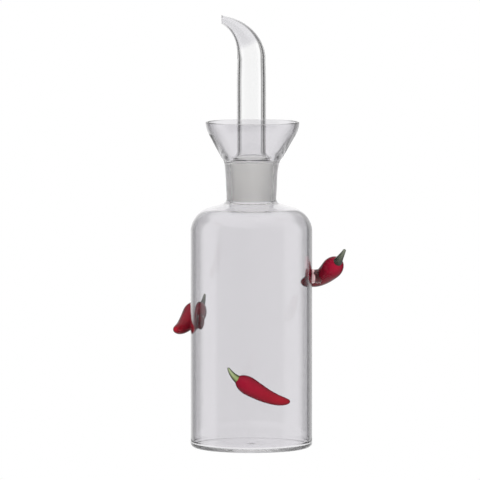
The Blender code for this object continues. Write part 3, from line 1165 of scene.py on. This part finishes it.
@dataclass
class Studio:
    """The camera, a white table top and a glowing card behind, with a room and soft lights round them.

    A glow pairs a distance from the card's middle with a level, and a wall pairs an azimuth in degrees,
    0 at the back and 180 at the front, with a level.

    Attributes:
        aim: The point that the camera and the lights face.
        elevation_deg: How far the camera looks down.
        distance: From the camera to the aim.
        lens_mm: Focal length on a sensor 36 mm wide.
        bounces: How often light may pass or mirror in the glass.
        card_gap: From the aim back to the card.
        card_half: Half of the card's width.
        glow_left: The card's glow to the left of its middle.
        glow_right: The card's glow to the right.
        table_radius: Radius of the table top.
        walls_left: Levels of the room's wall on the left.
        walls_right: Levels on the right.
        ceiling: Level of the ceiling and of the floor.
        horizon: Steepness between which the wall turns into the ceiling or the floor.
        soft_light: Level of the even room that matt surfaces see.
        lights: The soft lights.
    """

    aim: Vector = field(default_factory=lambda: Vector((-0.00656, 0.0, 0.11945)))
    elevation_deg: float = 4.5
    distance: float = 3.5
    lens_mm: float = 457.0
    bounces: int = 32
    card_gap: float = 3.0
    card_half: float = 2.0
    glow_left: tuple[tuple[float, float], ...] = (
        (0.30, 1.0), (0.50, 0.97), (0.69, 0.88), (0.84, 0.60), (1.1, 0.62), (1.4, 0.54), (1.7, 0.46),
        (2.0, 0.30))
    glow_right: tuple[tuple[float, float], ...] = (
        (0.30, 1.0), (0.50, 0.97), (0.60, 0.86), (0.68, 0.40), (0.80, 0.30), (1.0, 0.48), (1.4, 0.50),
        (2.0, 0.30))
    table_radius: float = 0.056
    walls_left: tuple[tuple[float, float], ...] = (
        (0.0, 0.3), (34.0, 0.30), (40.0, 0.20), (45.0, 0.02), (62.0, 0.02), (72.0, 0.92), (100.0, 0.92),
        (118.0, 0.12), (165.0, 0.12), (180.0, 0.35))
    walls_right: tuple[tuple[float, float], ...] = (
        (34.0, 0.26), (40.0, 0.18), (45.0, 0.02), (62.0, 0.02), (72.0, 0.92), (105.0, 0.92), (125.0, 0.60),
        (165.0, 0.50), (180.0, 0.35))
    ceiling: float = 0.95
    soft_light: float = 1.55
    horizon: tuple[float, float] = (0.50, 0.70)
    lights: tuple[SoftLight, ...] = (
        SoftLight("key_light", (-1.2, -2.2, 0.9), 1.4, 7.0),
        SoftLight("fill_light", (0.45, -2.5, 0.95), 1.2, 22.0),
        SoftLight("top_light", (0.0, 0.3, 2.4), 2.2, 30.0),
    )

    def build(self) -> None:
        """Sets up the camera, the room and the lights."""
        scene = bpy.context.scene
        scene.view_settings.view_transform = "Standard"
        scene.cycles.max_bounces = self.bounces
        scene.cycles.transmission_bounces = self.bounces
        scene.cycles.glossy_bounces = self.bounces
        camera = self._camera()
        scene.camera = camera
        self._room()
        self._card(camera)
        self._table()
        for light in self.lights:
            light.build(self.aim)
        LOG.info("studio: camera, card, table top and %d soft lights", len(self.lights))

    def _camera(self) -> bpy.types.Object:
        """Makes the camera at the photograph's viewing angle.

        Returns:
            The camera.
        """
        data = bpy.data.cameras.new("camera")
        data.lens = self.lens_mm
        data.sensor_width = 36.0
        data.clip_start, data.clip_end = 0.1, 50.0
        camera = bpy.data.objects.new("camera", data)
        bpy.context.scene.collection.objects.link(camera)
        rise = math.radians(self.elevation_deg)
        camera.location = self.aim + Vector((0, -math.cos(rise), math.sin(rise))) * self.distance
        camera.rotation_mode = "QUATERNION"
        camera.rotation_quaternion = (self.aim - camera.location).to_track_quat("-Z", "Y")
        return camera

    def _room(self) -> None:
        """Makes a far room: a pale ceiling and floor, and walls with dark and pale panels.

        Light that has left a matt surface sees an even pale room instead, so the panels show as lines in
        clear glass and leave the ground glass and the chillies evenly lit.
        """
        world = bpy.data.worlds.new("room")
        world.use_nodes = True
        tree = world.node_tree
        way = tree.nodes.new("ShaderNodeTexCoord")
        apart = tree.nodes.new("ShaderNodeSeparateXYZ")
        steep = tree.nodes.new("ShaderNodeMath")
        steep.operation = "ABSOLUTE"
        ease = tree.nodes.new("ShaderNodeMapRange")
        ease.interpolation_type = "SMOOTHSTEP"
        ease.inputs["From Min"].default_value = self.horizon[0]
        ease.inputs["From Max"].default_value = self.horizon[1]
        azimuth = tree.nodes.new("ShaderNodeMath")
        azimuth.operation = "ARCTAN2"
        degrees = tree.nodes.new("ShaderNodeMath")
        degrees.operation = "DEGREES"
        walls = LevelCurve(tree, self.walls_left, self.walls_right, 180.0)
        shade = ColourMix(tree, (0.0, 0.0, 0.0), (self.ceiling, self.ceiling, self.ceiling))
        tree.links.new(apart.outputs["X"], azimuth.inputs[0])
        tree.links.new(apart.outputs["Y"], azimuth.inputs[1])
        tree.links.new(azimuth.outputs["Value"], degrees.inputs[0])
        tree.links.new(degrees.outputs["Value"], walls.reading)
        tree.links.new(walls.level, shade.first)
        tree.links.new(way.outputs["Generated"], apart.inputs[0])
        tree.links.new(apart.outputs["Z"], steep.inputs[0])
        tree.links.new(steep.outputs["Value"], ease.inputs["Value"])
        tree.links.new(ease.outputs["Result"], shade.factor)
        path = tree.nodes.new("ShaderNodeLightPath")
        matt = tree.nodes.new("ShaderNodeMath")
        matt.operation = "GREATER_THAN"
        matt.inputs[1].default_value = 0.5
        soft = ColourMix(tree, (0.0, 0.0, 0.0), (self.soft_light, self.soft_light, self.soft_light))
        tree.links.new(path.outputs["Diffuse Depth"], matt.inputs[0])
        tree.links.new(matt.outputs["Value"], soft.factor)
        tree.links.new(shade.result, soft.first)
        tree.links.new(soft.result, tree.nodes["Background"].inputs["Color"])
        bpy.context.scene.world = world

    def _card(self, camera: bpy.types.Object) -> None:
        """Makes a card behind the bottle that glows white in the middle and dims to each side.

        Args:
            camera: The camera that carries the card on its line of sight.
        """
        form = bmesh.new()
        bmesh.ops.create_grid(form, x_segments=1, y_segments=1, size=self.card_half)
        mesh = bpy.data.meshes.new("card")
        form.to_mesh(mesh)
        form.free()
        card = bpy.data.objects.new("card", mesh)
        bpy.context.scene.collection.objects.link(card)
        card.parent = camera
        card.location = (0, 0, -(self.distance + self.card_gap))
        glow = bpy.data.materials.new("card_glow")
        glow.use_nodes = True
        tree = glow.node_tree
        tree.nodes.clear()
        place = tree.nodes.new("ShaderNodeTexCoord")
        apart = tree.nodes.new("ShaderNodeSeparateXYZ")
        fall = LevelCurve(tree, self.glow_left, self.glow_right, self.card_half)
        shine = tree.nodes.new("ShaderNodeEmission")
        out = tree.nodes.new("ShaderNodeOutputMaterial")
        tree.links.new(place.outputs["Object"], apart.inputs[0])
        tree.links.new(apart.outputs["X"], fall.reading)
        tree.links.new(fall.level, shine.inputs["Strength"])
        tree.links.new(shine.outputs["Emission"], out.inputs["Surface"])
        mesh.materials.append(glow)

    def _table(self) -> None:
        """Makes a round white light table under the bottle."""
        form = bmesh.new()
        bmesh.ops.create_circle(form, cap_ends=True, radius=self.table_radius, segments=96,
                                matrix=Matrix.Translation((0, 0, -0.0001)))
        mesh = bpy.data.meshes.new("table_top")
        form.to_mesh(mesh)
        form.free()
        table = bpy.data.objects.new("table_top", mesh)
        bpy.context.scene.collection.objects.link(table)
        white = bpy.data.materials.new("table_white")
        white.use_nodes = True
        shader = white.node_tree.nodes["Principled BSDF"]
        shader.inputs["Base Color"].default_value = (0.0, 0.0, 0.0, 1.0)
        shader.inputs["Specular IOR Level"].default_value = 0.0
        shader.inputs["Emission Color"].default_value = (1.0, 1.0, 1.0, 1.0)
        shader.inputs["Emission Strength"].default_value = 1.0
        mesh.materials.append(white)


def main() -> None:
    """Builds the bottle, its pourer, the chillies and the studio."""
    logging.basicConfig(level=logging.INFO, format="%(name)s: %(message)s")
    bottle_tint = (0.840, 0.832, 0.850)
    pourer_tint = (1.0, 1.0, 1.0)
    bottle_glass = ClearGlassFinish("bottle_glass", bottle_tint).build()
    bottle_ground = GroundGlassFinish("bottle_ground_glass", (1.0, 0.995, 0.975)).build()
    pourer_glass = DrawnTubeFinish("pourer_glass", pourer_tint).build()
    pourer_ground = GroundGlassFinish("pourer_ground_glass", (1.0, 0.995, 0.98)).build()
    # The clear foot's glass is tinted pink: painted refraction of the red body seen through it.
    foot_glass = ClearGlassFinish("foot_glass", (0.94, 0.62, 0.64)).build()
    # Two copies of one red: the front chilli's is painted darker to offset the extra light on it, and the
    # side chillies' copy is painted lighter to make up for the shade the bottle casts on them.
    red = ColouredGlassFinish("chilli_red_glass", (0.190, 0.006, 0.019), (0.205, 0.009, 0.015),
                              (0.012, 0.0005, 0.003), edge_shade_reach=0.40, clarity=0.05, shine=0.05).build()
    side_red_painted_lighter = ColouredGlassFinish("chilli_side_red_glass", (0.245, 0.007, 0.024), (0.25, 0.009, 0.018),
                                   (0.012, 0.0005, 0.003), edge_shade_reach=0.36, clarity=0.05, shine=0.05).build()
    # Both stems take painted shade at their edges; the dark stem's end is painted far lighter, a painted
    # highlight at its tip.
    green = ColouredGlassFinish("stem_green_glass", (0.21, 0.26, 0.10), (0.27, 0.31, 0.19),
                                (0.001, 0.002, 0.001), edge_shade_reach=0.86, clarity=0.15, shine=0.05).build()
    dark_green = ColouredGlassFinish("stem_dark_green_glass", (0.013, 0.015, 0.008), (0.12, 0.13, 0.10),
                                     (0.003, 0.004, 0.002), edge_shade_reach=0.6, shine=0.3).build()
    BottleShell(bottle_glass, bottle_ground).build()
    PourerTube(pourer_glass, pourer_ground).build()
    chillies = (
        GlassChilli(ChilliPlace.FRONT, red, green, foot_glass, 7.6, 0.0352, size=1.03),
        GlassChilli(ChilliPlace.RIGHT, side_red_painted_lighter, dark_green, foot_glass, 104.0, 0.0984, (-80.0, -10.0, -26.0),
                    -2.0, clearance=0.0034, size=1.18, foot_rise=-0.0006),
        GlassChilli(ChilliPlace.LEFT, side_red_painted_lighter, green, foot_glass, -118.5, 0.0708, (-14.0, -14.0, -4.0), -8.0,
                    clearance=0.0016, size=1.18),
    )
    for chilli in chillies:
        chilli.build()
    Studio().build()


if __name__ == "__main__":
    main()
